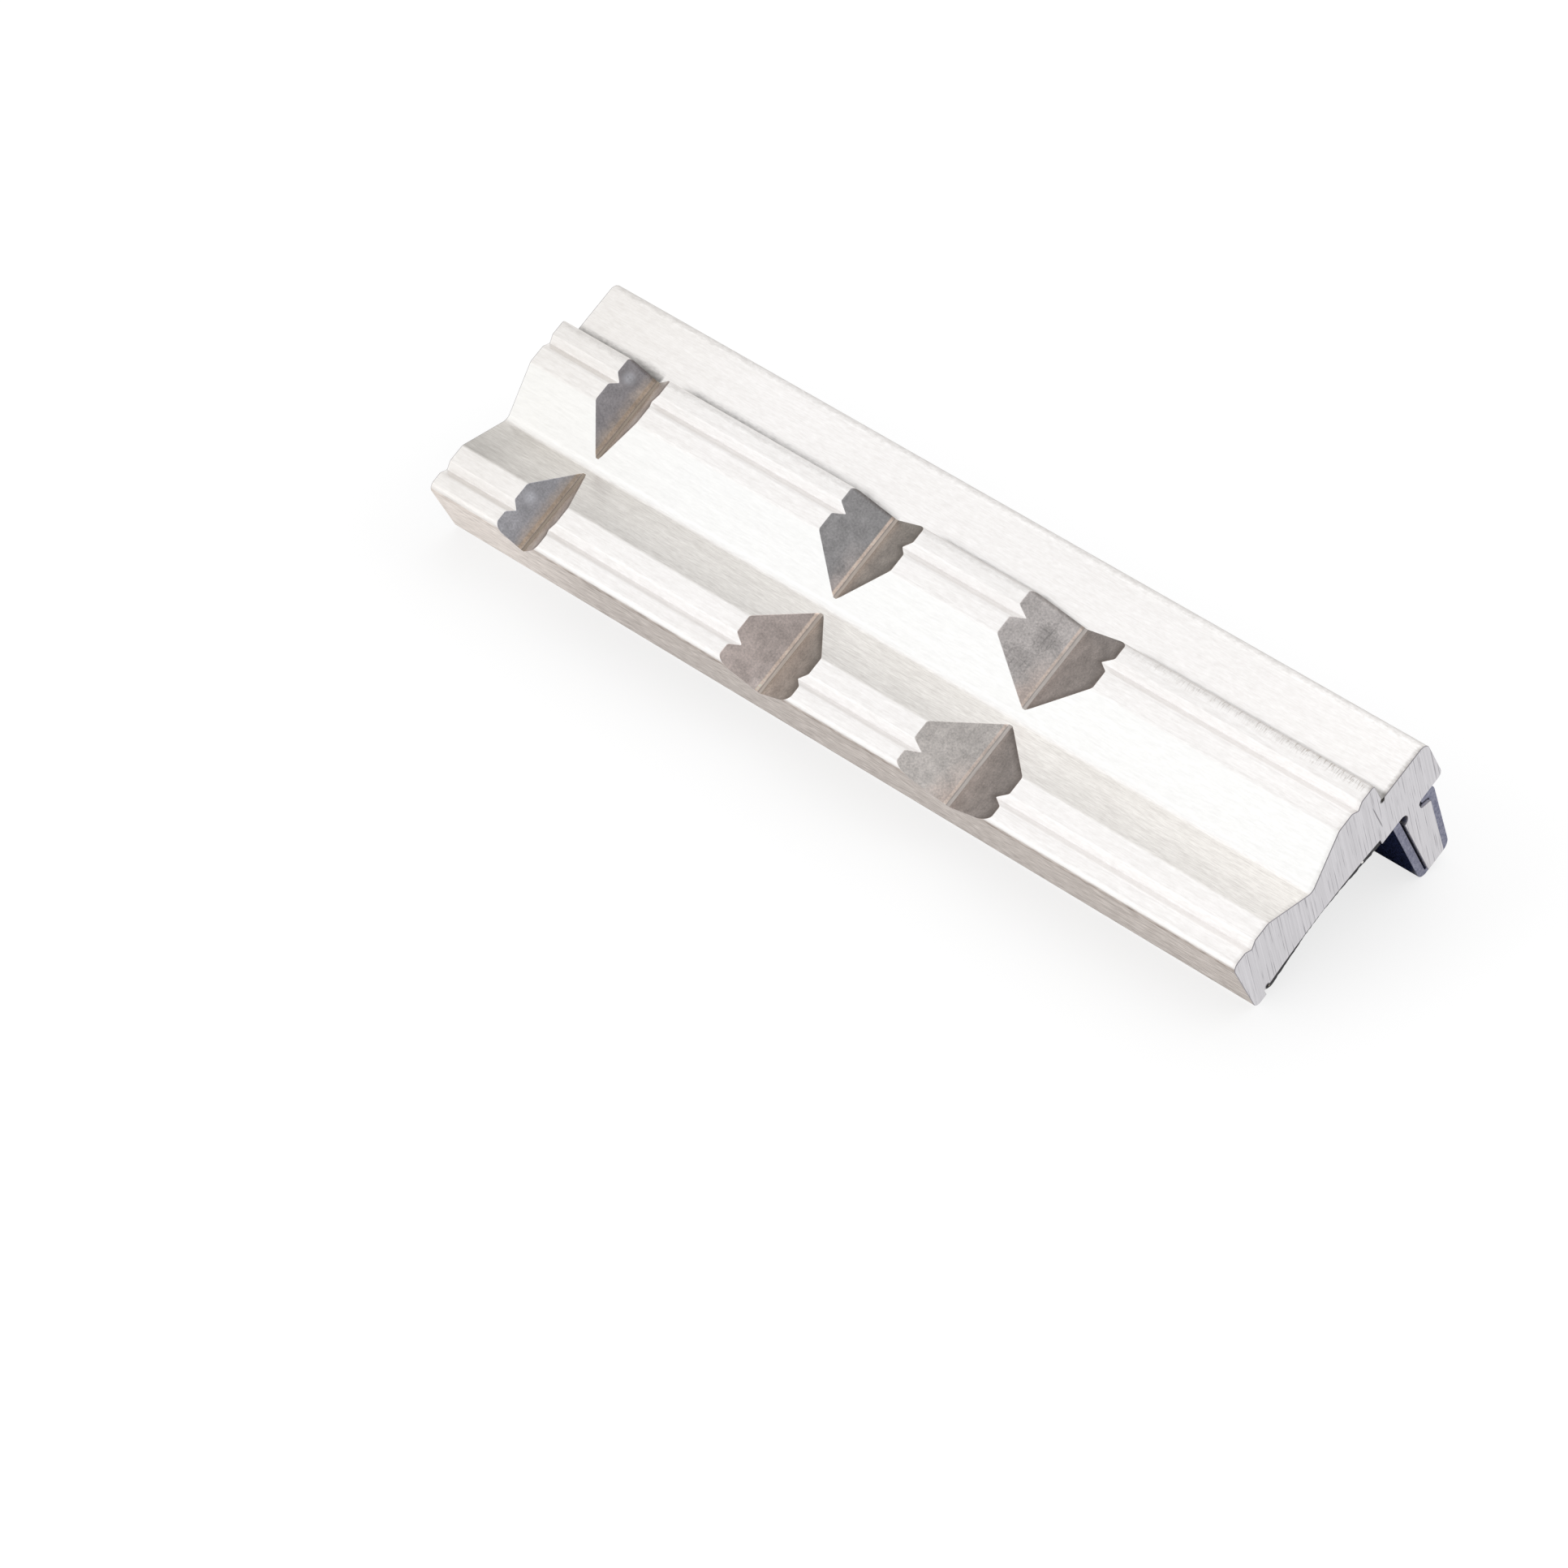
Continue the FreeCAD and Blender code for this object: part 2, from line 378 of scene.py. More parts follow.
class Face(Enum):
    """The jaw body's three finishes, numbered as its material slots are."""

    DRAWN = 0
    MILLED = 1
    SAWN = 2


@dataclass(frozen=True)
class JawSection:
    """The drawn section's sizes, in millimetres and degrees, and what follows from them."""

    jaw_length: float = 125.0
    jaw_height: float = 34.6
    work_face_height: float = 26.2
    plate_thickness: float = 9.8
    step_depth: float = 3.45
    ledge_back_drop: float = 1.0
    v_half_width: float = 6.55
    v_flank_angle: float = 60.0
    groove_at: float = 3.2
    groove_half_width: float = 0.9
    groove_depth: float = 0.7
    rim_width: float = 2.0
    recess_width: float = 21.6
    recess_edge_depth: float = 0.9
    recess_dish: float = 0.6
    rib_at: float = 27.25
    rib_reach: float = 12.6
    rib_tip_thickness: float = 3.0
    rib_flank_angle: float = 8.5
    rib_neck_thickness: float = 2.85
    slot_height: float = 1.2
    shoulder_slope: float = 20.0
    root_groove_radius: float = 0.8

    def rib_flank_at(self, w: float, clearance: float = 0.0) -> float:
        """The height v of the rib's sloping outer flank at a depth, or of a line outside it by a clearance."""
        slope, tip = math.radians(self.rib_flank_angle), self.rib_at + self.rib_tip_thickness
        return tip + (self.rib_reach + w) * math.tan(slope) + clearance / math.cos(slope)

    def shoulder_at(self, v: float, clearance: float = 0.0) -> float:
        """The depth w of the rib's sloping shoulder at a height, or of a line above it by a clearance."""
        slope, run = math.radians(self.shoulder_slope), v - self.rib_at - self.rib_neck_thickness
        return -self.ledge_back_drop - self.slot_height - run * math.tan(slope) + clearance / math.cos(slope)

    def flank_meets_shoulder(self, clearance: float = 0.0) -> tuple[float, float]:
        """Where the rib's flank and shoulder lines cross, both moved out by a clearance.

        Args:
            clearance: how far outside both lines, mm.

        Returns:
            The crossing's v and w, mm.
        """
        flank, shoulder = math.tan(math.radians(self.rib_flank_angle)), math.tan(math.radians(self.shoulder_slope))
        flank_base, shoulder_base = self.rib_flank_at(0.0, clearance), self.shoulder_at(0.0, clearance)
        v = (flank_base + flank * shoulder_base) / (1.0 + flank * shoulder)
        return v, shoulder_base - shoulder * v

    def recess_floor_at(self, v: Array, above: float = 0.0) -> Array:
        """The depth of the recess floor, an arc of one radius across the recess.

        Args:
            v: heights, mm.
            above: distance of the wanted surface from the floor, mm.

        Returns:
            The depths w, mm.
        """
        middle = self.rim_width + self.recess_width / 2.0
        radius = ((self.recess_width / 2.0) ** 2 + self.recess_dish**2) / (2.0 * self.recess_dish)
        return self.recess_edge_depth + self.recess_dish - radius + np.sqrt((radius - above) ** 2 - (v - middle) ** 2)


SECTION = JawSection()
NOTCHES = (Notch(14.2, 90.0), Notch(52.4, 120.0), Notch(81.6, 132.0))


@dataclass
class JawBody:
    """The aluminium body: the drawn section carried along the jaw, with three notches milled across its face.

    Each notch's rim is turned by rim_round, or by rim_share of its flank where that is less. The section has points
    at above_root over the notches' roots too, so that the milled flanks start evenly.
    """

    section: JawSection = SECTION
    notches: tuple[Notch, ...] = NOTCHES
    notch_depth: float = 3.1
    notch_root_width: float = 0.4
    above_root: float = 0.25
    rim_round: float = 0.07
    rim_share: float = 0.35
    rim_steps: int = 5
    end_round: float = 0.09
    edge_break: float = 0.12
    arc_steps: int = 13
    root_groove_steps: int = 25
    floor_steps: int = 41

    def outline(self) -> Array:
        """Draws the section clockwise from the lower back edge, with a point wherever a notch's root meets it.

        Each corner is given by its v, its w and its radius.

        Returns:
            Rows of v and w, mm.
        """
        s = self.section
        top, root, middle = s.plate_thickness, s.plate_thickness - self.notch_depth, s.work_face_height / 2.0
        ledge, half, slope = top - s.step_depth, s.v_half_width, math.tan(math.radians(s.v_flank_angle))
        deepest = top - half / slope
        crossing = [(root - deepest + extra) * slope for extra in (self.above_root, 0.0)]
        groove = [(-s.groove_half_width, top, 0.5), (0.0, top - s.groove_depth, 0.15), (s.groove_half_width, top, 0.5)]
        front = [(0.0, 0.0, 0.9), (0.0, root, 0.0), (0.0, top, 1.0)]
        front += [(s.groove_at + v, w, r) for v, w, r in groove] + [(middle - half, top, 1.0)]
        front += [(middle - c, deepest + c / slope, 0.0) for c in crossing] + [(middle, deepest, 1.2)]
        front += [(middle + c, deepest + c / slope, 0.0) for c in crossing[::-1]] + [(middle + half, top, 1.0)]
        front += [(s.work_face_height - s.groove_at + v, w, r) for v, w, r in groove]
        front += [(s.work_face_height, w, r) for w, r in ((top, 0.5), (root, 0.0), (ledge, 0.2))]
        slot_root, ledge_back, radius = s.rib_at + s.rib_neck_thickness, -s.ledge_back_drop, s.root_groove_radius
        back = [
            (s.jaw_height, ledge, 1.3), (s.jaw_height, ledge_back, 0.8), (slot_root, ledge_back, 0.5),
            (slot_root, ledge_back - s.slot_height, 0.5), (*s.flank_meets_shoulder(), 0.35),
            (s.rib_at + s.rib_tip_thickness, -s.rib_reach, 0.5), (s.rib_at, -s.rib_reach, 0.3),
        ]
        turn = np.linspace(0.0, math.pi, self.root_groove_steps)
        root_groove = np.stack([s.rib_at + radius * np.sin(turn), -radius - radius * np.cos(turn), 0.0 * turn], axis=1)
        recess_end = s.rim_width + s.recess_width
        across = np.linspace(recess_end, s.rim_width, self.floor_steps)
        floor = np.stack([across, s.recess_floor_at(across), 0.0 * across], axis=1)
        upper_rim, lower_rim = (np.array([[v, 0.0, self.edge_break]]) for v in (recess_end, s.rim_width))
        parts = [np.array(front + back), root_groove, upper_rim, floor, lower_rim]
        return rounded(np.concatenate(parts), self.arc_steps)

    def surface(self) -> Surface:
        """Carries the section along the jaw and lowers it into the notches.

        Where the section stands at depth w above a notch's root, the notch's rim lies (w - root) x run either side of
        the root's edge. The columns of a notch follow that rim, turn round it on a quadratic curve and go down the
        flank to the root. Where the section is no higher than the root, they all meet at the root's edge.

        Returns:
            The surface, with its finishes by column.
        """
        plain = carried(self.outline(), 0.0, self.section.jaw_length, self.end_round, Face.DRAWN.value, Face.SAWN.value)
        v, w = plain.v[:, 2:3], plain.w[:, 2:3]
        root, edge = self.section.plate_thickness - self.notch_depth, self.notch_root_width / 2.0
        above = np.maximum(w - root, 0.0)
        cut = np.maximum(above, np.roll(above, -1, axis=0)) > 0.0
        milled = np.where(cut, Face.MILLED.value, Face.DRAWN.value)
        drawn = np.full_like(milled, Face.DRAWN.value)
        t = np.linspace(0.0, 1.0, self.rim_steps)[None, :]
        mirror = np.array([-1.0, 1.0, 1.0])[:, None, None]
        ends = np.stack([plain.u, plain.w, np.zeros_like(plain.u)])
        parts, slots = [ends[:, :, :3]], [plain.finish[:, :2]]
        for notch in self.notches:
            slant = math.hypot(notch.run, 1.0)
            turn = np.minimum(self.rim_round, self.rim_share * above * slant)
            out = edge + above * notch.run + turn * (1.0 - t) ** 2 - turn * notch.run / slant * t**2
            down = np.where(above > 0.0, w - turn / slant * t**2, w)
            foot = np.stack([np.full_like(w, -edge), np.minimum(w, root), above * slant])
            left = np.concatenate([np.stack([-out, down, turn * t**2]), foot], axis=2)
            whole = np.concatenate([left, mirror * left[:, :, ::-1]], axis=2)
            whole[0] += notch.at
            parts.append(whole)
            slots += [drawn, np.repeat(milled, 2 * self.rim_steps + 1, axis=1)]
        u_all, w_all, below = np.concatenate([*parts, ends[:, :, 3:]], axis=2)
        v_all = np.repeat(v, u_all.shape[1], axis=1)
        v_all[:, :3], v_all[:, -3:] = plain.v[:, :3], plain.v[:, 3:]
        finish = np.concatenate([*slots, drawn, plain.finish[:, 3:]], axis=1)
        return Surface(u_all, v_all, w_all, finish, below)

    def build(self) -> bpy.types.Object:
        """Builds the body and dresses its sides, notches and ends.

        Returns:
            The body, riding the root.
        """
        piece = self.surface().build("aluminium_body", Face.SAWN.value)
        for finish in (DrawnAluminium(), MilledAluminium(), SawnAluminium()):
            piece.data.materials.append(finish.build())
        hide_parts("jaw_body")
        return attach(piece, "root")


@dataclass
class MagnetSheet:
    """The flexible magnet, dished with the recess floor, with ragged cut ends.

    The near end's cut bows in towards its middle, and the lower corner of that end is torn out.
    """

    section: JawSection = SECTION
    thickness: float = 0.75
    side_clearance: float = 0.15
    end_clearance: float = 0.09
    end_round: float = 0.05
    ragged: float = 0.08
    bow: float = 0.28
    torn_height: float = 0.62
    torn_depth: float = 0.8
    steps: int = 121
    seed: int = 7

    def build(self) -> bpy.types.Object:
        """Draws the bent strip's section, carries it along, and moves each end's points by a small random step.

        Returns:
            The sheet, riding the root.
        """
        s = self.section
        low, high = s.rim_width + self.side_clearance, s.rim_width + s.recess_width - self.side_clearance
        across = np.linspace(low, high, self.steps)
        floor, face = (np.stack([across, s.recess_floor_at(across, up)], axis=1) for up in (0.0, self.thickness))
        outline = np.concatenate([floor, face[::-1]])
        sheet = carried(outline, self.end_clearance, s.jaw_length - self.end_clearance, self.end_round, 0, 1)
        chance = np.random.default_rng(self.seed)
        for columns in (slice(0, 3), slice(3, 6)):
            step = chance.uniform(-1.0, 1.0, (len(outline), 1))
            step = 0.5 * step + 0.25 * (np.roll(step, 1, axis=0) + np.roll(step, -1, axis=0))
            sheet.u[:, columns] += self.ragged * step
        near = sheet.v[:, 3:]
        sheet.u[:, 3:] -= self.bow * np.sin(math.pi * np.clip((near - low) / (high - low), 0.0, 1.0)) ** 2
        sheet.u[:, 3:] -= self.torn_depth * (near < low + self.torn_height)
        piece = sheet.build("magnet_sheet", 1)
        for finish in (FerriteSheet(), FerriteSheet(cut=True)):
            piece.data.materials.append(finish.build())
        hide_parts("magnet_strip")
        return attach(piece, "root")


@dataclass
class MagnetCrumb:
    """A lump torn from the magnet's lower corner when it was cut, still hanging at its near end."""

    middle: Triple = (124.7, 2.74, 0.72)
    size: Triple = (0.28, 0.42, 0.42)
    lumpy: float = 0.16
    pole: float = 0.12
    steps: tuple[int, int] = (18, 11)
    seed: int = 11

    def build(self) -> bpy.types.Object:
        """Sweeps a ring along u with the sine of its angle as radius, and pushes each point in or out by chance.

        Returns:
            The crumb, riding the root.
        """
        (u, v, w), (du, dv, dw), (rows, columns) = self.middle, self.size, self.steps
        around = np.linspace(2.0 * math.pi, 0.0, rows, endpoint=False)[:, None]
        along = np.linspace(self.pole, math.pi - self.pole, columns)[None, :]
        reach = 1.0 + self.lumpy * np.random.default_rng(self.seed).uniform(-1.0, 1.0, self.steps)
        lump = Surface(
            u - du * np.cos(along) + 0.0 * around, v + dv * reach * np.sin(along) * np.cos(around),
            w + dw * reach * np.sin(along) * np.sin(around), np.zeros((rows, columns - 1), dtype=int),
        )
        piece = lump.build("magnet_crumb", 0, 60.0)
        piece.data.materials.append(FerriteSheet(cut=True).build())
        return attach(piece, "root")


@dataclass
class ClipCover:
    """The plastic U profile over the rib, hooked under the ledge, with sawn ends."""

    section: JawSection = SECTION
    wall: float = 1.15
    tip_wall: float = 0.6
    seat_gap: float = 0.2
    clearance: float = 0.1
    end_clearance: float = 0.4
    end_round: float = 0.06
    nose_radius: float = 1.1
    outer_nose_radius: float = 1.25
    inner_radius: float = 0.25
    hook_outer_radius: float = 1.3
    hook_tip_radius: float = 0.35
    hook_tip_gap: float = 0.55
    shoulder_radius: float = 0.35
    arc_steps: int = 15

    def outline(self) -> Array:
        """Draws the cover's section clockwise, outside first, from its foot beside the magnet.

        Returns:
            Rows of v and w, mm.
        """
        s, around = self.section, self.clearance + self.wall
        seat, inner_tip = s.rib_at - self.seat_gap, -s.rib_reach - self.clearance
        foot, nose = seat - self.wall, inner_tip - self.tip_wall
        hook_top = -s.ledge_back_drop - self.clearance
        hook_tip = s.rib_at + s.rib_neck_thickness + self.hook_tip_gap
        corners = np.array([
            (foot, 0.0, 0.0), (foot, nose, self.nose_radius),
            (s.rib_flank_at(nose, around), nose, self.outer_nose_radius),
            (s.rib_flank_at(hook_top, around), hook_top, self.hook_outer_radius),
            (hook_tip, hook_top, self.hook_tip_radius),
            (hook_tip, s.shoulder_at(hook_tip, self.clearance), self.hook_tip_radius),
            (*s.flank_meets_shoulder(self.clearance), self.shoulder_radius),
            (s.rib_flank_at(inner_tip, self.clearance), inner_tip, self.inner_radius),
            (seat, inner_tip, self.inner_radius), (seat, 0.0, 0.0),
        ])
        return rounded(corners, self.arc_steps)[::-1]

    def build(self) -> bpy.types.Object:
        """Carries the section along the jaw and dresses its glossy sides and sawn ends.

        Returns:
            The cover, riding the root.
        """
        end = self.section.jaw_length - self.end_clearance
        piece = carried(self.outline(), self.end_clearance, end, self.end_round, 0, 1).build("clip_cover_profile", 1)
        for finish in (NavyPlastic(), SawnPlastic()):
            piece.data.materials.append(finish.build())
        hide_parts("clip_cover")
        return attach(piece, "root")


class Finish(Graph):
    """A material under construction, with the section's coordinates u, v and w at hand in millimetres."""

    name: str = "finish"

    def __init__(self) -> None:
        """Starts the material and adds its coordinates."""
        self.material = bpy.data.materials.new(self.name)
        super().__init__(self.material)
        self.place = POSE.section_coordinates(self)
        split = self.add("SeparateXYZ", self.place)
        self.u, self.v, self.w = (split.outputs[axis] for axis in "XYZ")

    def pattern(self, scale: Triple, *detail: float, turn: float = 0.0, place: Any = None) -> Node:
        """Adds a random pattern, stretched along the axes.

        Args:
            scale: how many spots go into a millimetre along u, v and w.
            detail: how fine it goes, then how rough.
            turn: how far it is turned in the plane of u and v, in degrees.
            place: the coordinates it reads, u, v and w unless others are given.

        Returns:
            The pattern, near 0.5.
        """
        turned = self.add("Mapping", place or self.place, Scale=scale, Rotation=(0.0, 0.0, math.radians(turn)))
        return self.add("TexNoise", turned, 1.0, *detail)

    def beside(self, *places: Triple) -> Node:
        """Adds the distance in mm to the nearest of some places, each given by u, v and w."""
        return self.chain("MINIMUM", *(self.add("VectorMath", self.place, at, operation="DISTANCE") for at in places))

    def ramps(self, *rows: Ramp) -> Node:
        """Multiplies ramps. Each row has an axis, the two places on it, and the ramp's values there."""
        return self.chain("MULTIPLY", *(self.add("MapRange", getattr(self, axis), *ends) for axis, *ends in rows))

    def finished(self, colour: Any, relief: Any, strength: float, depth: float, **sockets: Any) -> bpy.types.Material:
        """Adds the relief and the shader, and closes the material.

        Args:
            colour: the base colour.
            relief: the pattern that stands up from the surface.
            strength: how strongly it does.
            depth: how high it stands, mm.
            sockets: the shader's other sockets.

        Returns:
            The material.
        """
        bump = self.add("Bump", Height=relief, Strength=strength, Distance=depth * MM)
        self.add("OutputMaterial", self.add("BsdfPrincipled", Base_Color=colour, Normal=bump, **sockets))
        return self.material


class DrawnAluminium(Finish):
    """Extruded 6060 aluminium, satin from the die.

    The die leaves fine lines along the length, which show most in the V. The corner between the ledge and the step
    is painted dark as shade, and the grooves' lips are painted darker as shade. The outer edges and the edge over the
    step are greyer, and the step's edge has burrs at the near end. The V's lower flank is duller metal painted darker
    as shade, its upper flank is painted paler as light, and its bottom round carries a painted highlight. Each row of
    painted light and shade is a ramp along an axis, by which that face is brighter or darker from place to place.
    """

    name: str = "drawn_aluminium"
    land: Pair = ("#eae8e6", "#f4f3f2")
    flank: Pair = ("#d0cdc9", "#e8e6e2")
    foot: Pair = ("#968a81", "#d3c9c1")
    # The V's upper flank: its own plain finish, painted paler as light.
    lit_flank: str = "#ecedec"
    warmth: Pair = ("#fffdfb", "#fffefe")
    # Painted shade in the corner between the ledge and the step.
    painted_shade_colour: str = "#26241d"
    # Grey of the outer edges, the step's edge and the nicks, and the painted shade along the groove lips.
    grey_and_shade: str = "#8d8781"
    brown_edge_mark: str = "#86786a"
    line_width: float = 0.13
    line_length: float = 1.6
    groove_lips: tuple[float, float] = (2.5, 22.17)
    crease_at: float = 13.27
    dull_strip_at: float = 24.6
    land_depth: float = 8.6
    ledge_depth: float = 6.62
    # Painted light and shade: ramps by which each face is lighter or darker along the jaw and across it.
    land_shading: tuple[Ramp, ...] = (("u", 2.0, 28.0, 0.96, 1.035), ("u", 75.0, 118.0, 1.0, 1.045))
    upper_shading: tuple[Ramp, ...] = (("u", 0.0, 115.0, 0.955, 1.02),)
    lower_shading: tuple[Ramp, ...] = (
        ("u", 0.0, 125.0, 0.96, 1.19), ("v", 7.3, 12.3, 0.88, 1.12), ("u", 3.0, 7.0, 0.78, 0.92),
        ("u", 7.0, 30.0, 1.0, 1.07),
    )
    foot_shading: tuple[Ramp, ...] = (
        ("u", 11.0, 26.0, 1.29, 0.985), ("w", 1.0, 6.0, 0.94, 1.03), ("w", 8.2, 9.2, 1.0, 0.9),
    )

    def __init__(self) -> None:
        """Adds the even grain, and v frayed by it."""
        super().__init__()
        self.grain = self.pattern((1.4, 2.8, 2.8), 5.0, 0.7)
        self.ragged = self.chain("ADD", self.total(self.v, (self.grain, -1.1)), 0.55)

    def marks_and_shade(self) -> list[Layer]:
        """Adds the masks of the greyer outer edges, the painted shade along the groove lips, the greyer edge over the
        step, a few nicks and the burrs.

        Returns:
            Each mask with its colour, lowest layer first.
        """
        add, chain, u, v, ragged = self.add, self.chain, self.u, self.v, self.ragged
        far_out = self.total(u, (self.grain, -0.8))
        end = chain("MULTIPLY", add("MapRange", far_out, 123.9, 124.5, 0.0, 0.6), add("MapRange", v, 25.0, 27.0, 0.35))
        edge = chain("MAXIMUM", add("MapRange", ragged, 33.5, 34.6, 0.0, 0.6), end)
        edge = chain("MULTIPLY", edge, chain("GREATER_THAN", self.w, 4.5))

        on_land = chain("GREATER_THAN", self.w, self.land_depth)
        # Painted shade along the grooves' lips, weaker towards the near end.
        lips = chain("MINIMUM", *(self.off(v, lip_at) for lip_at in self.groove_lips))
        lips, lips_fade = add("MapRange", lips, 0.42, 0.12, 0.0, 0.17), add("MapRange", u, 60.0, 118.0, 1.0, 0.35)
        lips = chain("MULTIPLY", lips, on_land, lips_fade)

        crest = chain("MULTIPLY", add("MapRange", v, 25.7, 25.98, 0.0, 0.5), add("MapRange", u, 36.0, 66.0))
        step = chain("MAXIMUM", add("MapRange", ragged, 25.2, 25.9, 0.0, 0.27), crest)
        step = chain("MULTIPLY", step, chain("LESS_THAN", v, 26.4), on_land)

        cells = add("TexVoronoi", add("Mapping", self.place, Scale=(0.22, 0.45, 0.45)), 1.0)
        rare = chain("GREATER_THAN", add("SeparateColor", cells.outputs["Color"]), 0.95)
        nick = chain("MULTIPLY", add("MapRange", cells, 0.08, 0.02, 0.0, 0.5), rare)

        strokes = add("MapRange", self.pattern((6.5, 0.7, 0.7), 3.0, 0.7), 0.51, 0.63, 0.0, 0.62)
        shoulder = add("MapRange", ragged, 24.5, 25.9, **SMOOTH)
        strokes = chain("MULTIPLY", strokes, shoulder, add("MapRange", u, 80.0, 116.0), on_land)
        return [(mask, self.grey_and_shade) for mask in (lips, edge, step, nick)] + [(strokes, self.brown_edge_mark)]

    def painted_shade_mask(self) -> Node:
        """Adds the mask of the painted shade in the corner under the step, laid as a dull dark coat that is not metal.

        It is wide at the far end and a thin line at the near one, it follows the wall's top edge down into the
        notches, and it is left out from each notch's root to just past its right rim.

        Returns:
            The mask.
        """
        add, chain, u, v = self.add, self.chain, self.u, self.v
        depth, rims = JawBody.notch_depth, [(notch.at, JawBody.notch_depth * notch.run) for notch in NOTCHES]
        drop = chain("MAXIMUM", *(add("MapRange", self.off(u, at), 0.0, rim, depth, 0.0) for at, rim in rims))
        drop = chain("MULTIPLY", drop, add("MapRange", u, 20.0, 50.0, 0.1, 0.3))
        wide = add("MapRange", chain("ADD", self.ragged, drop), 28.1, 26.4, 0.0, 0.72, **SMOOTH)
        fades = add("MapRange", u, 10.0, 80.0, 1.05, 0.1, **SMOOTH)
        thin = chain("ADD", self.total(v, (self.grain, -0.3)), drop)
        thin = chain("MULTIPLY", add("MapRange", thin, 27.22, 26.77, 0.0, 0.36), add("MapRange", u, 36.0, 66.0))
        painted_shade_colour = chain(
            "MULTIPLY", self.total(thin, (wide, fades)), chain("LESS_THAN", self.w, self.ledge_depth),
            chain("GREATER_THAN", self.w, 0.0), chain("GREATER_THAN", v, 26.1),
        )
        for at, rim in rims:
            past = chain("SUBTRACT", u, at)
            left = add("MapRange", past, -0.2, 0.1, 1.0, 0.1)
            right = add("MapRange", past, rim - 0.4, rim + 2.2, 0.1, 1.0)
            painted_shade_colour = chain("MULTIPLY", painted_shade_colour, chain("MAXIMUM", left, right))
        return painted_shade_colour

    def build(self) -> bpy.types.Material:
        """Makes the material: satin metal with die lines 0.13 mm wide and its painted light and shade, then the marks,
        the painted shade by the grooves and the painted shade in the corner over it.

        Returns:
            The material.
        """
        add, chain, u, v, grain = self.add, self.chain, self.u, self.v, self.grain
        fine = self.pattern((1.0 / self.line_length,) + (1.0 / self.line_width,) * 2, 3.0, 0.55, turn=-2.0)
        bands = self.pattern((0.03, 1.3, 1.3), 3.0)
        soft = add("MapRange", self.total(fine, (bands, 0.35), (grain, 0.8)), 0.8, 1.35)
        hard = add("MapRange", self.total(fine, (bands, 0.3), (grain, 0.4)), 0.62, 1.08)
        crisp = add("MapRange", fine, 0.36, 0.66)
        # The V's lower flank is duller metal, painted darker as shade; its upper flank gets the paler painted colour.
        flank = chain("MULTIPLY", add("MapRange", v, 6.3, 6.75, **SMOOTH), add("MapRange", v, 13.1, 12.4, **SMOOTH))
        foot = add("MapRange", v, 0.3, 0.05, **SMOOTH)
        sheer = chain("MULTIPLY", add("MapRange", v, 12.6, 13.3, 0.0, 0.85), add("MapRange", v, 19.7, 19.3))
        land = self.layered(self.land[0], (soft, self.land[1]))
        shaded_flank = self.layered(self.flank[0], (hard, self.flank[1]))
        # Painted light: the lower face paler at the far end.
        paler_at_ends = add("MapRange", u, 11.0, 26.0, 0.2, 0.0)
        under = self.layered(self.foot[0], (crisp, self.foot[1]), (paler_at_ends, land))
        metal = self.layered(land, (sheer, self.lit_flank), (flank, shaded_flank), (foot, under))

        # A strip 3% darker round v = 24.6 on the land, then the ramps of painted light and shade.
        strip = add("MapRange", self.off(v, self.dull_strip_at), 1.5, 1.1, 1.0, 0.97)
        painted_shading = chain("MULTIPLY", self.ramps(*self.land_shading), strip)
        for mask, rows in ((sheer, self.upper_shading), (flank, self.lower_shading), (foot, self.foot_shading)):
            painted_shading = add("Mix", mask, painted_shading, self.ramps(*rows))
        # Painted highlight along the V's bottom round.
        crease = add("MapRange", self.off(v, self.crease_at), 0.5, 0.08, 1.0, 1.11)
        warmth = self.layered(self.warmth[0], (add("MapRange", u, 4.0, 28.0), self.warmth[1]))
        colour = add("VectorMath", metal, warmth, operation="MULTIPLY")
        colour = add("VectorMath", colour, chain("MULTIPLY", painted_shading, crease), operation="SCALE")

        # Painted shade in the corner under the step: dark, dull and not metal there.
        shaded_corner = self.painted_shade_mask()
        colour = self.layered(colour, *self.marks_and_shade(), (shaded_corner, self.painted_shade_colour))
        rough = self.total(add("MapRange", hard, 0.0, 1.0, 0.38, 0.28), (shaded_corner, 0.4))
        bare = chain("SUBTRACT", 1.0, shaded_corner)
        return self.finished(colour, self.total(fine, (grain, 0.5)), 0.2, 0.03, Metallic=bare, Roughness=rough)


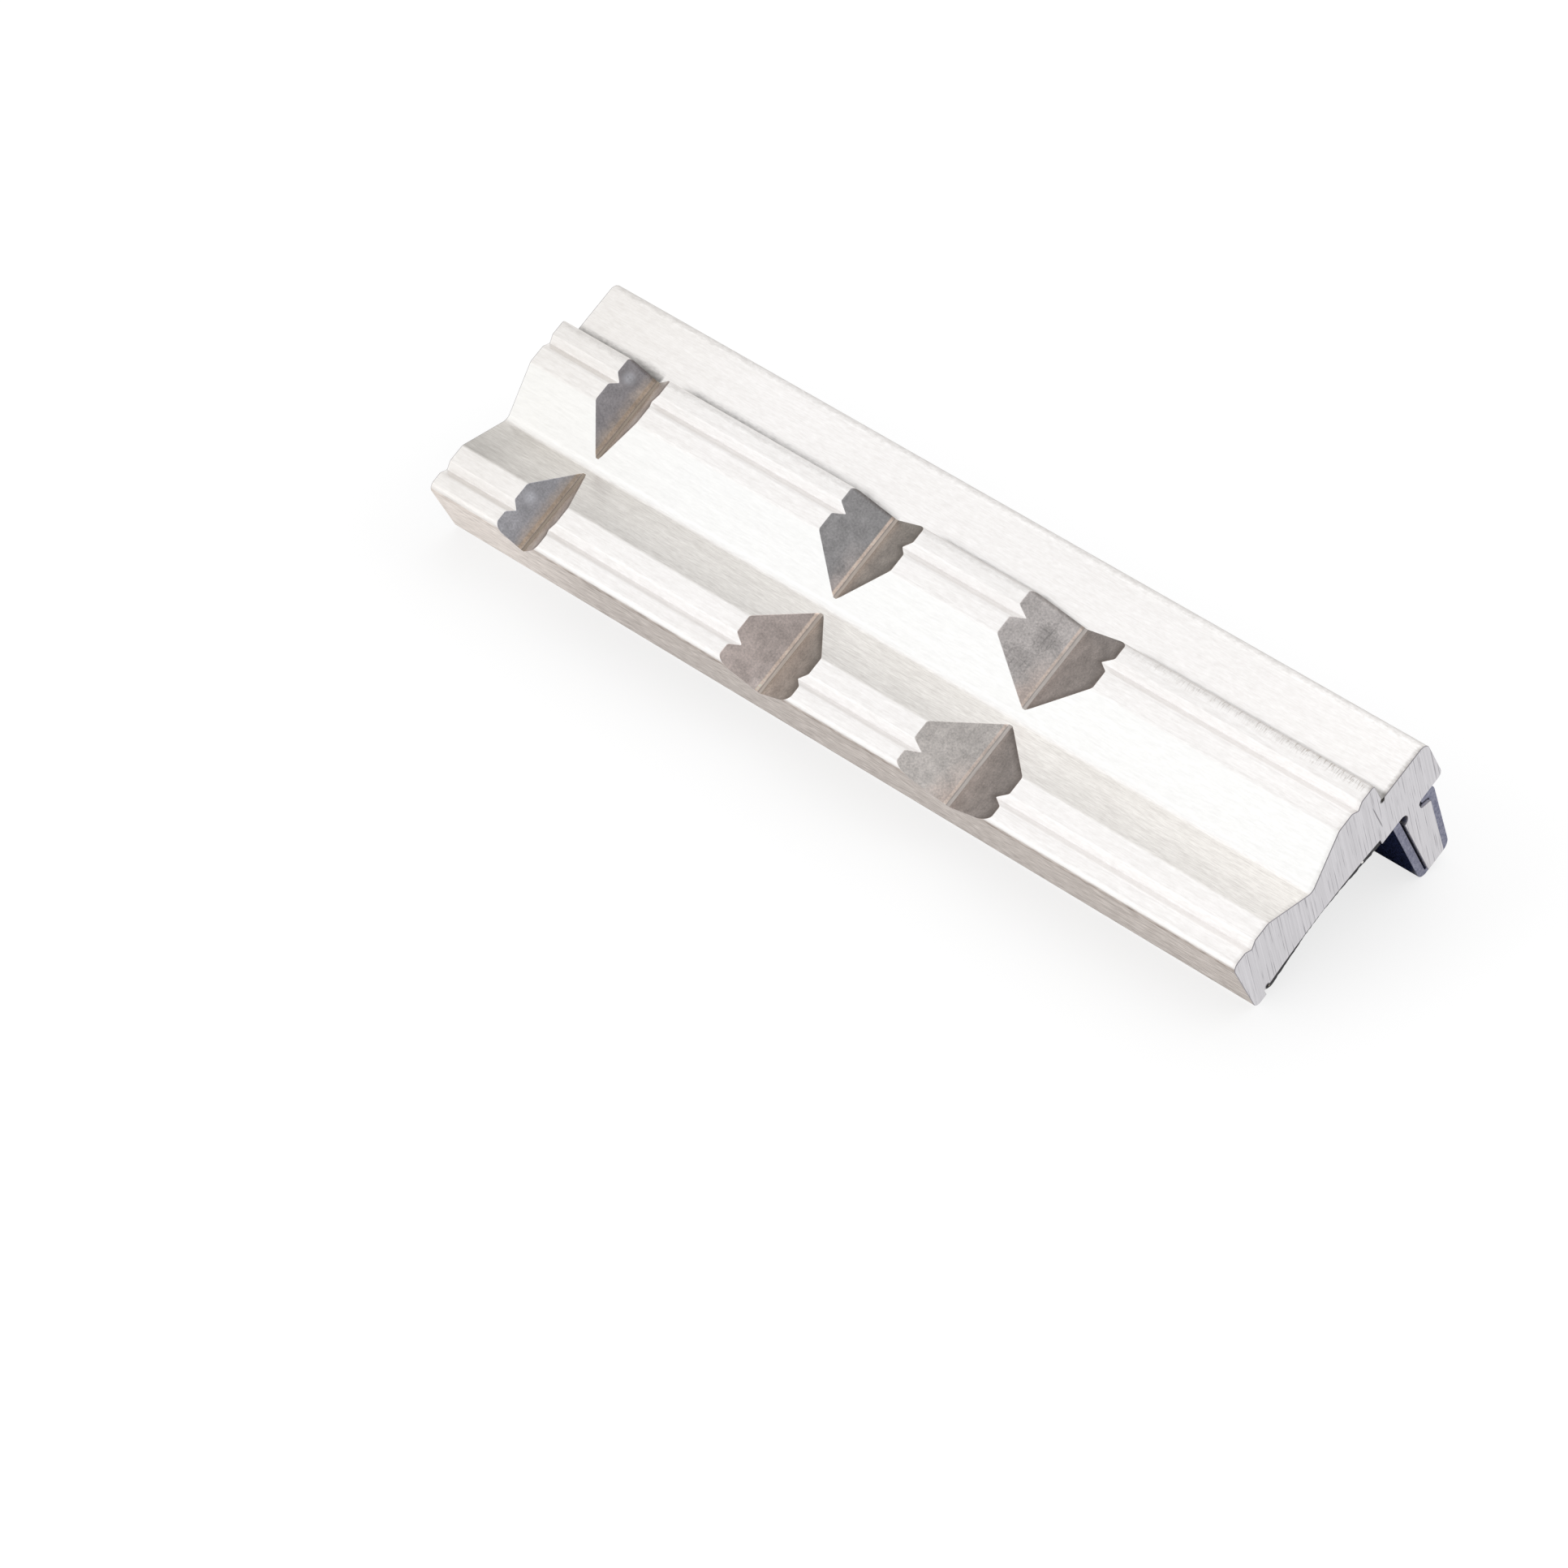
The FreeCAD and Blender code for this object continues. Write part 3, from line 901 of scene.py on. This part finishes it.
class MilledAluminium(Finish):
    """Aluminium cut by a V cutter: duller than the drawn face, with a film of cutting fluid.

    The film differs from notch to notch, and the two sides of each notch are coloured apart by which way they face,
    as painted light and shade. It is bluish and dark in the first, paler and warmer in the last, and browner on the
    near flanks. A painted tan highlight runs beside the root, the roots' tan is partly painted highlight, the metal
    next to its low ends is paler tan, the near rims are dark, the far flanks are painted dark by the step as shade,
    the first notch has two paler spots, and the last has two patches of fine dark scratches.
    """

    name: str = "milled_aluminium"
    # Each notch's tints, by side and half: the film, with painted light and shade.
    far_upper: Tints = ("#a9a5a8", "#b1afb0", "#d9d3d1")
    far_lower: Tints = ("#bbbabf", "#cfc2bd", "#dcd6d2")
    near_side_tints: Tints = ("#fbf0e9", "#c2bab2", "#b8afaa")
    paler_at_ends: Tints = ("#cbbfb5", "#dcd0cc", "#dccbc2")
    tan_highlight: Tints = ("#ccbbaa", "#fbe6d7", "#eddcd1")
    root_tint_and_highlight: Tints = ("#ddd5c9", "#fbf6f0", "#ffffff")
    root_metal: Pair = ("#a19995", "#c8c2bd")
    brown_edge_mark: str = "#57483d"
    between: tuple[float, float] = (30.0, 67.0)
    root_depth: float = 6.7
    root_edge: float = 0.2
    line_beside: float = 0.27
    line_reach: float = 0.22
    thin_film: str = "#e2e3ea"
    thin_spots: tuple[Triple, Triple] = ((12.0, 24.2, 8.75), (11.8, 5.5, 8.9))
    patches: tuple[Triple, Triple] = ((78.7, 22.6, 7.9), (77.6, 18.5, 8.35))
    patch_reach: float = 2.7

    def __init__(self) -> None:
        """Adds what its layers share: the film's clouds and grain, the two sides, the upper half and the root."""
        super().__init__()
        self.clouds = self.add("TexNoise", self.place, 0.6, 2.0)
        self.grain = self.add("TexNoise", self.place, 4.0, 4.0, 0.65)
        # Which way a flank faces: the two sides get colours of their own, painted light and shade.
        facing = self.add("SeparateXYZ", self.add("TexCoord").outputs["Normal"])
        self.far_side = self.add("MapRange", facing, -0.05, 0.05)
        self.near_side = self.chain("SUBTRACT", 1.0, self.far_side)
        self.upper = self.add("MapRange", self.v, 12.0, 14.0)
        self.over_root = self.chain("SUBTRACT", self.w, self.root_depth)

    def film(self, tints: Tints) -> Node:
        """Picks each notch's own tint by its place along the jaw."""
        tops = [self.chain("GREATER_THAN", self.u, start) for start in self.between]
        return self.layered(tints[0], *zip(tops, tints[1:]))

    def patch(self) -> Node:
        """Adds the two darker patches of the last notch, with fine scratches both ways.

        Returns:
            The factor that darkens the metal, 1 outside the patches.
        """
        away, reach = self.total(self.beside(*self.patches), (self.grain, 2.4)), self.patch_reach
        inside = self.add("MapRange", away, reach + 1.0, reach - 0.9, **SMOOTH)
        scratch = self.chain("MAXIMUM", self.pattern((3.6, 0.4, 0.6), 2.0), self.pattern((0.35, 4.6, 0.4), 2.0))
        scratch = self.add("MapRange", scratch, 0.56, 0.66, 0.17, 0.38)
        return self.total(1.0, (self.chain("MULTIPLY", inside, self.far_side, scratch), -1.0))

    def metal(self) -> Node:
        """Adds the colour of the flanks: each notch's tint with its two sides coloured apart as painted light and
        shade, the paler tan zone over the root, the pale spots and the painted tan highlight.

        Returns:
            The colour.
        """
        add, chain, u, v, far_side = self.add, self.chain, self.u, self.v, self.far_side
        # Each notch's tint, its far and near sides coloured apart as painted light and shade.
        side = self.layered(self.film(self.far_lower), (self.upper, self.film(self.far_upper)))
        side = self.layered(self.film(self.near_side_tints), (far_side, side))
        near_root = self.total(self.over_root, (self.clouds, -1.2))
        near_root = add("MapRange", near_root, 0.8, -0.4, 0.0, 0.8, **SMOOTH)
        low_ends = add("Mix", self.upper, add("MapRange", v, 6.5, 0.5), add("MapRange", v, 22.0, 16.0))
        low_ends = chain("MAXIMUM", low_ends, chain("LESS_THAN", u, self.between[0]))
        near_root = chain("MULTIPLY", near_root, far_side, low_ends)
        thin = self.total(self.beside(*self.thin_spots), (self.grain, 1.2))
        thin = add("MapRange", thin, 1.75, 0.85, 0.0, 0.5, **SMOOTH)
        # A painted tan highlight beside each root, on the far flanks.
        lines = (notch.at - self.root_edge - self.line_beside for notch in NOTCHES)
        line = chain("MINIMUM", *(self.off(u, middle) for middle in lines))
        line = add("MapRange", line, self.line_reach, self.line_reach * 0.5, 0.0, 0.9)
        return self.layered(
            side, (near_root, self.film(self.paler_at_ends)), (thin, self.thin_film),
            (chain("MULTIPLY", line, far_side), self.film(self.tan_highlight)),
        )

    def build(self) -> bpy.types.Material:
        """Makes the material: the film's soft clouds and grain, cutter lines 0.15 mm apart, and the root.

        Returns:
            The material.
        """
        add, chain, v, clouds, grain = self.add, self.chain, self.v, self.clouds, self.grain
        lines = self.pattern((0.01, 0.15, 6.5), 2.0)
        rim = self.total(add("Attribute", attribute_name="below_rim").outputs["Fac"], (grain, -0.6))
        rim = chain("MAXIMUM", add("MapRange", rim, -0.3, 1.2, 0.45, 0.0), add("MapRange", rim, -0.2, -0.02, 0.45, 0.0))
        # Painted shade along the far flanks' top by the step, and burrs on the near rims.
        by_step = chain("MULTIPLY", add("MapRange", v, 25.7, 26.1, 0.0, 0.5), self.far_side)
        edge = chain("MAXIMUM", chain("MULTIPLY", rim, self.near_side), by_step)
        metal = self.layered(self.metal(), (edge, self.brown_edge_mark))
        tone = add("MapRange", self.total(grain, (clouds, 0.55), (lines, 0.2)), 0.62, 1.12, 0.72, 1.24)
        low_end = add("Mix", self.upper, add("MapRange", v, 6.8, 0.8, 0.96, 1.1), 1.0)
        tone = chain("MULTIPLY", tone, add("Mix", self.far_side, 1.0, low_end), self.patch())
        metal = add("VectorMath", metal, tone, operation="SCALE")

        # The roots: their own finish, and a painted tan highlight.
        bottom = self.layered(self.root_metal[0], (self.pattern((6.0, 0.5, 1.0), 2.0), self.root_metal[1]))
        bottom = add("VectorMath", bottom, self.film(self.root_tint_and_highlight), operation="MULTIPLY")
        colour = self.layered(metal, (add("MapRange", self.over_root, 0.07, 0.01), bottom))
        rough = add("MapRange", clouds, 0.0, 1.0, 0.36, 0.5)
        return self.finished(colour, lines, 0.25, 0.03, Metallic=1.0, Roughness=rough)


class SawnAluminium(Finish):
    """The ends as the saw left them: matte, with slanted lines from the blade's teeth.

    A few lines are deeper than the rest, and the corner between ledge and step is painted dark as shade.
    """

    name: str = "sawn_aluminium"
    cut: Pair = ("#cdcbce", "#dddbde")
    deep: str = "#a3a0a5"
    rim: str = "#99969b"
    line_slant: float = 10.5
    line_width: float = 0.15
    scratch: str = "#77747a"
    scratch_at: float = 24.68
    scratch_middle: float = 4.7
    scratch_half: float = 2.4
    step_corner_shade: tuple[Triple, float, str] = ((125.0, 26.25, 6.3), 0.5, "#2a2722")
    crumb_smear: tuple[Triple, float, str] = ((125.0, 2.62, 1.12), 0.48, "#1e1b1d")

    def build(self) -> bpy.types.Material:
        """Makes the material: blade lines right across the plate, thin deep ones by chance, and one long scratch.

        Returns:
            The material.
        """
        add, chain = self.add, self.chain
        turned = add("Mapping", self.place, Rotation=(math.radians(self.line_slant), 0.0, 0.0))
        fine = self.pattern((0.01, 1.0 / self.line_width, 0.06), 3.0, 0.6, place=turned)
        rare = add("TexVoronoi", add("SeparateXYZ", turned).outputs["Y"], 1.9, voronoi_dimensions="1D")
        patchy = add("MapRange", self.pattern((1.0, 1.2, 0.22), 2.0, place=turned), 0.46, 0.62, 0.0, 0.9)
        rare = chain("MULTIPLY", add("MapRange", rare, 0.1, 0.06), patchy)
        past_end = add("MapRange", self.off(self.w, self.scratch_middle), self.scratch_half, self.scratch_half - 0.8)
        on_line = add("MapRange", self.off(self.v, self.scratch_at), 0.09, 0.05, 0.0, 0.8)
        long_line = chain("MULTIPLY", on_line, past_end)
        inner = chain("MINIMUM", self.u, chain("SUBTRACT", POSE.half_length * 2.0, self.u))
        inner = chain("GREATER_THAN", inner, 0.01)
        colour = self.layered(
            self.cut[0], (add("MapRange", fine, 0.3, 0.68), self.cut[1]), (rare, self.deep), (long_line, self.scratch),
            (inner, self.rim),
        )
        # Painted shade at the step's corner, and the crumb's smear.
        for place, reach, tint in (self.step_corner_shade, self.crumb_smear):
            colour = self.layered(colour, (add("MapRange", self.beside(place), reach, reach / 2.0), tint))
        return self.finished(colour, self.total(fine, (rare, -1.0)), 0.3, 0.04, Metallic=1.0, Roughness=0.5)


class FerriteSheet(Finish):
    """Ferrite powder in rubber, calendered: matte dark brown with glittering grains, and blacker where it is cut."""

    glitter: str = "#d9cbb0"
    sliver: str = "#f4f2ee"
    sliver_at: Triple = (124.9, 20.4, 0.9)
    sliver_reach: float = 0.17

    def __init__(self, cut: bool = False) -> None:
        """Picks the looks of the sheet's faces or of its cut edge.

        Args:
            cut: whether it is the cut edge.
        """
        self.name = "ferrite_sheet_cut" if cut else "ferrite_sheet"
        self.ground = ("#121114", "#232127") if cut else ("#2a2320", "#3d332d")
        self.dull_share = 0.93 if cut else 0.95
        super().__init__()

    def build(self) -> bpy.types.Material:
        """Makes the material: fine mottling, and single grains of 0.15 mm that shine.

        Returns:
            The material.
        """
        add, chain = self.add, self.chain
        mottle = add("TexNoise", self.place, 3.0, 4.0)
        grains = add("TexVoronoi", self.place, 3.2)
        rare = chain("GREATER_THAN", add("SeparateColor", grains.outputs["Color"]), self.dull_share)
        shine = chain("MULTIPLY", rare, chain("LESS_THAN", grains, 0.22))
        sliver = chain("LESS_THAN", self.beside(self.sliver_at), self.sliver_reach)
        colour = self.layered(self.ground[0], (mottle, self.ground[1]), (shine, self.glitter), (sliver, self.sliver))
        shine = chain("MAXIMUM", shine, sliver)
        rough = add("MapRange", shine, 0.0, 1.0, 0.6, 0.25)
        return self.finished(colour, mottle, 0.3, 0.05, Metallic=shine, Roughness=rough)


class NavyPlastic(Finish):
    """Extruded hard PVC, dyed navy: smooth and glossy, with faint lines from the die."""

    name: str = "navy_plastic_skin"
    dye: Pair = ("#262d4e", "#2c3458")

    def build(self) -> bpy.types.Material:
        """Makes the material: die lines 0.3 mm apart, only just there, under a glossy skin.

        Returns:
            The material.
        """
        lines = self.pattern((0.02, 3.0, 3.0), 3.0)
        colour = self.layered(self.dye[0], (lines, self.dye[1]))
        rough = self.add("MapRange", lines, 0.3, 0.7, 0.16, 0.24)
        return self.finished(colour, lines, 0.1, 0.02, Roughness=rough, IOR=1.53)


class SawnPlastic(Finish):
    """The same plastic where the saw cut it: paler, milky and matte."""

    name: str = "navy_plastic_sawn"
    milky: Pair = ("#6b6d86", "#9c9daf")

    def build(self) -> bpy.types.Material:
        """Makes the material: chalky mottling 0.4 mm wide over a rough cut.

        Returns:
            The material.
        """
        mottle = self.add("TexNoise", self.place, 2.5, 4.0, 0.65)
        tone = self.add("MapRange", mottle, 0.35, 0.65)
        colour = self.layered(self.milky[0], (tone, self.milky[1]))
        return self.finished(colour, mottle, 0.4, 0.06, Roughness=0.65, IOR=1.53)


@dataclass(frozen=True)
class Softbox:
    """One soft lamp: a round sheet of light that faces the jaw."""

    name: str
    towards: Triple
    distance: float
    size: float
    radiance: float

    def build(self) -> bpy.types.Object:
        """Hangs the lamp. A disc of radius r that radiates L gives off pi x L x pi x r squared watts.

        Returns:
            The lamp.
        """
        lamp = bpy.data.lights.new(self.name, "AREA")
        lamp.shape = "DISK"
        lamp.size = self.size
        lamp.energy = math.pi * self.radiance * math.pi * (self.size / 2.0) ** 2
        hung = bpy.data.objects.new(self.name, lamp)
        away = Vector(self.towards).normalized()
        hung.matrix_world = Matrix.Translation(away * self.distance) @ away.to_track_quat("Z", "Y").to_matrix().to_4x4()
        bpy.context.scene.collection.objects.link(hung)
        return hung


@dataclass
class Studio:
    """The pale floor, the soft light and the camera."""

    bright: float = 1.17
    front: Triple = (0.521, -0.551, 0.652)
    front_share: float = 0.47
    far_end: Triple = (-0.984, 0.15, 0.098)
    far_end_share: float = 0.3
    under_middle: Triple = (0.0, 0.0025, 0.0)
    under_half: Triple = (0.0605, 0.015, 0.0)
    floor_side: float = 30.0
    paper: float = 0.95
    shade_in_mirror: float = 0.05
    floor_glow: float = 1.08
    mirror_share: float = 0.85
    focal_px: float = 9226.16
    photo_px: float = 1932.0
    camera_at: Triple = (442.89, -496.66, 560.87)
    camera_looks: Triple = (-0.51792, 0.55212, -0.65339)
    camera_up: Triple = (-0.44429, 0.47909, 0.75702)
    key_lamp: Softbox = Softbox("key_lamp", (-0.5, -0.75, 0.42), 1.5, 1.3, 0.15)

    def floor(self) -> bpy.types.Object:
        """Lays the floor at z = 0: pale, and whiter away from the jaw's footprint, so that its shadow is kept. In
        reflections the floor under the footprint is nearly black: painted shade.

        Returns:
            The floor.
        """
        mesh, half = bpy.data.meshes.new("floor"), self.floor_side / 2.0
        mesh.from_pydata([(x * half, y * half, 0.0) for x, y in ((-1, -1), (1, -1), (1, 1), (-1, 1))], [], [range(4)])
        ground = bpy.data.objects.new("floor", mesh)
        bpy.context.scene.collection.objects.link(ground)
        material = bpy.data.materials.new("pale_floor")
        graph = Graph(material)
        add, chain, path = graph.add, graph.chain, graph.add("LightPath").outputs
        out = add("VectorMath", add("TexCoord").outputs["Object"], self.under_middle, operation="SUBTRACT")
        out = add("VectorMath", add("VectorMath", out, operation="ABSOLUTE"), self.under_half, operation="SUBTRACT")
        out = add("VectorMath", add("VectorMath", out, (0.0, 0.0, 0.0), operation="MAXIMUM"), operation="LENGTH")
        open_floor = add("MapRange", out, 0.0, 0.003, **SMOOTH)
        whiter = add("MapRange", out, 0.0, 0.06, 0.7, 0.97, **SMOOTH)
        mirrored = chain("MAXIMUM", path["Is Glossy Ray"], path["Is Transmission Ray"])
        in_mirror = chain("MULTIPLY", mirrored, open_floor, self.mirror_share)
        share = add("Math", path["Is Camera Ray"], whiter, in_mirror, operation="MULTIPLY_ADD", use_clamp=True)
        # Painted shade: under the footprint, glossy rays see the floor nearly black.
        shade = chain("MULTIPLY", chain("SUBTRACT", 1.0, open_floor), mirrored)
        paper, darker = ((tone, tone, tone, 1.0) for tone in (self.paper, self.shade_in_mirror))
        matte = add("BsdfDiffuse", graph.layered(paper, (shade, darker)))
        white = add("Emission", "#ffffff", self.floor_glow)
        add("OutputMaterial", add("MixShader", share, matte, white))
        mesh.materials.append(material)
        return ground

    def world(self) -> None:
        """Fills the room with an even light, dimmer towards the open front and low past the far end, as in a tent."""
        room = bpy.data.worlds.new("studio")
        graph = Graph(room)
        add = graph.add
        place = add("TexCoord").outputs["Generated"]
        front, end = (add("VectorMath", place, side, operation="DOT_PRODUCT") for side in (self.front, self.far_end))
        front = add("MapRange", front, 0.45, 0.72, self.bright, self.bright * self.front_share, **SMOOTH)
        end = add("MapRange", end, 0.72, 0.9, 1.0, self.far_end_share, **SMOOTH)
        level = graph.chain("MULTIPLY", front, end)
        level = add("Mix", add("LightPath").outputs["Is Camera Ray"], level, 1.0)
        add("OutputWorld", add("Background", "#ffffff", level))
        bpy.context.scene.world = room

    def camera(self) -> bpy.types.Object:
        """Sets the camera: its place is in mm, and its axes are the direction it looks in and its own up.

        Returns:
            The camera.
        """
        lens = bpy.data.cameras.new("camera")
        lens.sensor_width = 36.0
        lens.lens = self.focal_px / self.photo_px * lens.sensor_width
        lens.clip_start, lens.clip_end = 0.01, 100.0
        seat = bpy.data.objects.new("camera", lens)
        back = -Vector(self.camera_looks).normalized()
        right = Vector(self.camera_up).cross(back).normalized()
        turn = Matrix((right, back.cross(right), back)).transposed().to_4x4()
        seat.matrix_world = Matrix.Translation(Vector(self.camera_at) * MM) @ turn
        bpy.context.scene.collection.objects.link(seat)
        bpy.context.scene.camera = seat
        return seat

    def build(self) -> None:
        """Builds the floor, the world, the lamp and the camera."""
        self.floor()
        self.world()
        self.key_lamp.build()
        self.camera()
        bpy.context.scene.view_settings.view_transform = "Standard"


def main() -> None:
    """Builds every piece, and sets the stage."""
    logging.basicConfig(level=logging.INFO, format="%(name)s: %(message)s")
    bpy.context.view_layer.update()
    for maker in (JawBody(), MagnetSheet(), MagnetCrumb(), ClipCover()):
        piece = maker.build()
        LOG.info("%s: %d points, %d faces", piece.name, len(piece.data.vertices), len(piece.data.polygons))
    Studio().build()


if __name__ == "__main__":
    main()
